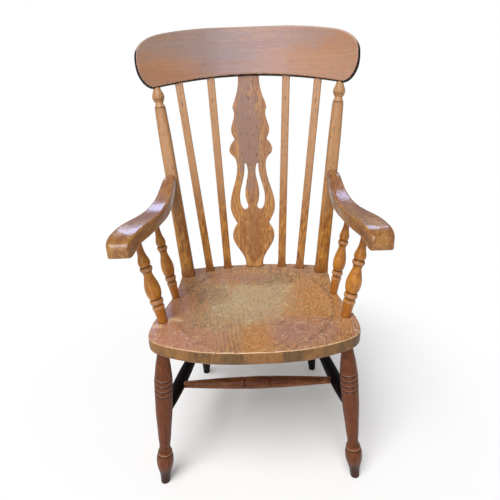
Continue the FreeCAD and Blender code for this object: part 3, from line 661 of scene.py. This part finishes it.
class CHAIR_OT_back(bpy.types.Operator):
    """Finishes the splat, the posts and the laths of the back"""

    bl_idname = "chair.back"
    bl_label = "Back"

    def execute(self, context):
        tints = context.scene.chair_colours
        grain = context.scene.chair_grain
        seat_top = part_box("seat")[1].z
        low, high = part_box("splat")
        middle = (low + high) / 2
        lean = Vector((0, high.y - low.y, high.z - low.z))
        film = (-0.01, middle.y + 0.05, seat_top + 0.38)
        marks = marks_of([
            (add_rise, seat_top + 0.12, seat_top + 0.5, tints.splat_patina, 0.35),
            (add_patch, film, (0.05, 0.2, 0.2), tints.splat_patina, 1.0),
            (add_patch, (0.0, middle.y, seat_top + 0.1), (0.07, 0.2, 0.12), tints.splat_dark, 0.5),
            (add_wear_and_highlight, tints.splat_light, 0.6),
        ])
        elm = Wood(
            tints.splat_light, tints.splat_dark, tints.splat_patina, ring=grain.elm_ring, pith=0.06,
            tilt=0.05, figure=0.2, streak=0.6, mottle=0.4, fleck=0.9, patina_amount=0.3, patch_stretch=5,
            gloss=0.1, specular=0.35,
        )
        place = grain_frame(middle, lean, (0, -1, 0.25))
        material = wood_material("elm_splat_oiled", elm, place, marks=marks)
        splat = worn_copy("splat", "splat_board", 1.5 * MM, material)
        wear(splat, 0.2 * MM, 0.03)
        mark_arrises(splat)
        marks = marks_of([
            (add_rise, seat_top + 0.08, seat_top + 0.4, tints.back_patina, 0.8),
            # The posts and laths darken towards the seat: painted shade where they meet it
            (add_rise, seat_top + 0.07, seat_top - 0.01, tints.back_dark, 0.9),
        ])
        beech = Wood(
            tints.back_light, tints.back_dark, tints.back_dark, ring=grain.beech_ring, pith=0.03, tilt=0.03,
            fleck=0.8, patina_amount=0.35, gloss=0.08, specular=0.3,
        )
        for group in ("post_", "lath_outer_", "lath_inner_"):
            for side in SIDES:
                place = grain_frame(*main_axis(group + side), (0.2, -1, 0))
                dress(group + side, wood_material("beech_" + group + side, beech, place, marks=marks))
        return {"FINISHED"}


class CHAIR_OT_arms(bpy.types.Operator):
    """Shapes and finishes the arms, their pegs and their spindles"""

    bl_idname = "chair.arms"
    bl_label = "Arms and Spindles"

    def execute(self, context):
        tints = context.scene.chair_colours
        grain = context.scene.chair_grain
        beech = Wood(
            tints.arm_light, tints.arm_dark, tints.arm_patina, ring=grain.beech_ring, pith=0.04, tilt=0.05,
            figure=0.1, streak=0.5, mottle=0.4, fleck=0.6, patina_amount=0.8, gloss=0.6, specular=0.25,
            roughness=0.42,
        )
        # A dark finish from the legs' stain and the crest's edge colour: painted shade for the arms'
        # undersides
        stain = Wood(
            tints.leg_dark, tints.crest_edge_stain_and_shade, tints.crest_edge_stain_and_shade, gloss=0.0, specular=0.2, roughness=0.6,
        )
        for side in SIDES:
            place = grain_frame(*main_axis("arm_" + side))
            # Paler arrises on the arms: wear, and a painted highlight along them
            marks = marks_of([(add_wear_and_highlight, tints.ring_worn_and_highlight, 0.7)])
            material = wood_material("beech_arm_" + side, beech, place, marks=marks)
            arm = worn_copy("arm_" + side, "arm_rest_" + side, 1.5 * MM, material)
            wear(arm, 0.3 * MM, 0.03)
            mark_arrises(arm)
            # Faces turned towards the floor take the dark finish: painted shade under the arms
            underside_shade = wood_material("beech_arm_underside_" + side, stain, place)
            finish_faces(arm, underside_shade, lambda normal, centre: normal.z < -0.6)
            dress("arm_peg_" + side, material)
            for group in ("spindle_front_", "spindle_rear_"):
                self.dress_spindle(group + side, tints, grain)
        return {"FINISHED"}

    def dress_spindle(self, node, tints, grain):
        # Heights are from the seat's top
        centre, along = main_axis(node)
        foot = (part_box("seat")[1].z - centre.z) / along.z
        marks = marks_of(bands(foot, [
            # Pale bands on the proud rings: bare wood and a painted highlight
            (58, 4, tints.ring_worn_and_highlight, 0.55),
            (42, 2.5, tints.ring_worn_and_highlight, 0.45),
            (145, 3, tints.ring_worn_and_highlight, 0.5),
            (200, 22, tints.spindle_patina, 0.8),
            (15, 18, tints.spindle_patina, 0.6),
            # Dark bands in the grooves: dirt, and painted shade in the recesses
            (50, 1.6, tints.dirt_and_shade, 0.85),
            (66, 1.6, tints.dirt_and_shade, 0.85),
            (139, 1.6, tints.dirt_and_shade, 0.8),
            (152, 1.6, tints.dirt_and_shade, 0.8),
        ]))
        turned = Wood(
            tints.spindle_light, tints.spindle_dark, tints.spindle_patina, ring=grain.beech_ring, pith=0.02,
            tilt=0.03, fleck=0.5, patina_amount=0.45, gloss=0.25, specular=0.3, roughness=0.34,
        )
        place = grain_frame(centre, along, (0, -1, 0))
        dress(node, wood_material("beech_" + node, turned, place, marks=marks))


class CHAIR_OT_legs(bpy.types.Operator):
    """Finishes the legs and the stretchers between them"""

    bl_idname = "chair.legs"
    bl_label = "Legs and Stretchers"

    def execute(self, context):
        tints = context.scene.chair_colours
        # The front legs' colours hold their dark wood and painted shade from the seat above
        front = Wood(
            tints.leg_light, tints.leg_dark, tints.leg_patina, pith=0.02, tilt=0.02, fleck=0.6, gloss=0.15,
            specular=0.2,
        )
        # Near-black wood for the rear legs and side stretchers: dark wood with painted shade under the seat
        under = Wood(
            tints.shade_light, tints.shade_dark, tints.shade_dark, pith=0.02, tilt=0.02, gloss=0.0,
            specular=0.05,
        )
        cross = Wood(
            tints.rail_light, tints.rail_dark, tints.rail_patina, pith=0.02, tilt=0.02, patina_amount=0.8,
            gloss=0.1, specular=0.2,
        )
        for side in SIDES:
            self.dress_turned("leg_front_" + side, front, self.leg_marks(tints, "leg_front_" + side))
            self.dress_turned("leg_rear_" + side, under)
            self.dress_turned("side_stretcher_" + side, under)
        self.dress_turned("cross_stretcher", cross)
        return {"FINISHED"}

    def leg_marks(self, tints, node):
        # Heights are from the floor
        centre, along = main_axis(node)
        floor = -centre.z / along.z
        rings = [282 + 14.5 * ring for ring in range(4)]
        # Dark bands in the grooves are dirt and painted shade; the pale bands on the vase ring and beside
        # each groove are wear and painted highlights
        rows = [(0, 55, tints.leg_foot, 0.85), (99, 2.5, tints.ring_worn_and_highlight, 0.4), (94, 1.6, tints.dirt_and_shade, 0.7)]
        rows += [(ring, 1.8, tints.dirt_and_shade, 0.85) for ring in rings]
        rows += [(ring + 3, 1.6, tints.ring_worn_and_highlight, 0.25) for ring in rings]
        return marks_of(bands(floor, rows))

    def dress_turned(self, node, wood, marks=None):
        centre, along = main_axis(node)
        place = grain_frame(centre, along, (0.1, -0.9, 0.3))
        dress(node, wood_material("beech_" + node, wood, place, marks=marks))


class CHAIR_OT_stage(bpy.types.Operator):
    """Sets up the camera, the lamps and the white floor"""

    bl_idname = "chair.stage"
    bl_label = "Stage"

    def execute(self, context):
        studio = context.scene.chair_studio
        scene = context.scene
        scene.view_settings.view_transform = "Standard"

        world = bpy.data.worlds.new("studio")
        world.use_nodes = True
        tree = world.node_tree
        tree.nodes.clear()
        rays = add_node(tree, "ShaderNodeLightPath")
        glow = add_node(tree, "ShaderNodeBackground", {}, {"Color": WHITE, "Strength": studio.sky})
        white = add_node(tree, "ShaderNodeBackground", {}, {"Color": WHITE, "Strength": 1.0})
        seen = add_node(tree, "ShaderNodeMixShader", {}, {
            0: rays.outputs["Is Camera Ray"], 1: glow.outputs[0], 2: white.outputs[0],
        })
        add_node(tree, "ShaderNodeOutputWorld", {}, {"Surface": seen.outputs[0]})
        scene.world = world

        self.add_floor(studio)
        key = self.add_lamp("key_lamp", "SUN", (-0.66, -1.5, 3.6), studio.key)
        key.data.angle = math.radians(36)
        fill = self.add_lamp("fill_lamp", "AREA", (-1.4, -3.2, 1.7), studio.fill)
        fill.data.size = 2.4
        # Three windows show only as gloss: one on each arm and one on the crest
        windows = (
            ("left_window", (-0.95, 2.5, 2.0), studio.back_window, 0.45),
            ("right_window", (0.9, 2.4, 2.4), studio.back_window, 0.45),
            ("front_window", (-0.1, -1.9, 2.3), studio.front_window, 0.9),
        )
        for name, place, power, size in windows:
            window = self.add_lamp(name, "AREA", place, power)
            window.data.size = size
            window.data.color = (0.5, 0.62, 1.0)
            window.visible_diffuse = False
        self.add_camera(scene)
        return {"FINISHED"}

    def add_floor(self, studio):
        floor_bm = bmesh.new()
        bmesh.ops.create_circle(floor_bm, cap_ends=True, segments=64, radius=9.0)
        mesh = bpy.data.meshes.new("floor")
        floor_bm.to_mesh(mesh)
        floor_bm.free()
        floor = bpy.data.objects.new("floor", mesh)
        bpy.context.scene.collection.objects.link(floor)
        material, tree = new_material("matt_studio_floor")
        coords = add_node(tree, "ShaderNodeTexCoord").outputs["Object"]
        away = add_node(tree, "ShaderNodeVectorMath", {"operation": "LENGTH"}, {0: coords}).outputs["Value"]
        far = remap(tree, away, studio.floor_reach * 0.55, studio.floor_reach)
        rays = add_node(tree, "ShaderNodeLightPath").outputs["Is Camera Ray"]
        paint = add_node(tree, "ShaderNodeBsdfDiffuse", {}, {"Color": studio.floor_white})
        lift = add_node(tree, "ShaderNodeEmission", {}, {"Color": WHITE, "Strength": studio.floor_lift})
        lifted = add_node(tree, "ShaderNodeAddShader", {}, {0: paint.outputs[0], 1: lift.outputs[0]})
        white = add_node(tree, "ShaderNodeEmission", {}, {"Color": WHITE, "Strength": 1.0})
        faded = add_node(tree, "ShaderNodeMixShader", {}, {
            0: far, 1: lifted.outputs[0], 2: white.outputs[0],
        })
        seen = add_node(tree, "ShaderNodeMixShader", {}, {
            0: rays, 1: paint.outputs[0], 2: faded.outputs[0],
        })
        add_node(tree, "ShaderNodeOutputMaterial", {}, {"Surface": seen.outputs[0]})
        mesh.materials.append(material)

    def add_lamp(self, name, kind, place, power):
        light = bpy.data.lights.new(name, kind)
        light.energy = power
        lamp = bpy.data.objects.new(name, light)
        bpy.context.scene.collection.objects.link(lamp)
        lamp.location = place
        aim = Vector((0, 0, 0.6)) - Vector(place)
        lamp.rotation_euler = aim.to_track_quat("-Z", "Y").to_euler()
        return lamp

    def add_camera(self, scene):
        # Where the photograph was taken from, measured from the seat's front edge
        place = Vector((0.0257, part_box("seat")[0].y - 0.8418, 1.0307))
        yaw, pitch, roll = (math.radians(angle) for angle in (-0.25, 22.126, -1.914))
        ahead = Vector((math.sin(yaw) * math.cos(pitch), math.cos(yaw) * math.cos(pitch), -math.sin(pitch)))
        level = Vector((math.cos(yaw), -math.sin(yaw), 0))
        upright = level.cross(ahead)
        right = level * math.cos(roll) + upright * math.sin(roll)
        up = upright * math.cos(roll) - level * math.sin(roll)
        turn = Matrix((right, up, -ahead)).transposed().to_4x4()
        optics = bpy.data.cameras.new("camera")
        optics.lens = 33.12
        optics.shift_x = -0.0214
        optics.shift_y = -0.0063
        optics.clip_start = 0.05
        camera = bpy.data.objects.new("camera", optics)
        scene.collection.objects.link(camera)
        camera.matrix_world = Matrix.Translation(place) @ turn
        scene.camera = camera


class CHAIR_PT_panel(bpy.types.Panel):
    """Lists the steps that dress the chair"""

    bl_idname = "CHAIR_PT_panel"
    bl_label = "Captains Chair"
    bl_space_type = "VIEW_3D"
    bl_region_type = "UI"
    bl_category = "Chair"

    def draw(self, context):
        for operator in OPERATORS:
            self.layout.operator(operator.bl_idname)
        for group in ("chair_colours", "chair_grain", "chair_studio"):
            box = self.layout.box()
            settings = getattr(context.scene, group)
            for name in settings.__annotations__:
                box.prop(settings, name)


OPERATORS = (CHAIR_OT_seat, CHAIR_OT_crest, CHAIR_OT_back, CHAIR_OT_arms, CHAIR_OT_legs, CHAIR_OT_stage)
GROUPS = {"chair_colours": ChairColours, "chair_grain": ChairGrain, "chair_studio": ChairStudio}


def register():
    for group, kind in GROUPS.items():
        bpy.utils.register_class(kind)
        setattr(bpy.types.Scene, group, PointerProperty(type=kind))
    for kind in OPERATORS + (CHAIR_PT_panel,):
        bpy.utils.register_class(kind)


def unregister():
    for kind in reversed(OPERATORS + (CHAIR_PT_panel,)):
        bpy.utils.unregister_class(kind)
    for group, kind in GROUPS.items():
        delattr(bpy.types.Scene, group)
        bpy.utils.unregister_class(kind)


def main():
    register()
    bpy.ops.chair.stage()
    bpy.ops.chair.seat()
    bpy.ops.chair.crest()
    bpy.ops.chair.back()
    bpy.ops.chair.arms()
    bpy.ops.chair.legs()


if __name__ == "__main__":
    main()
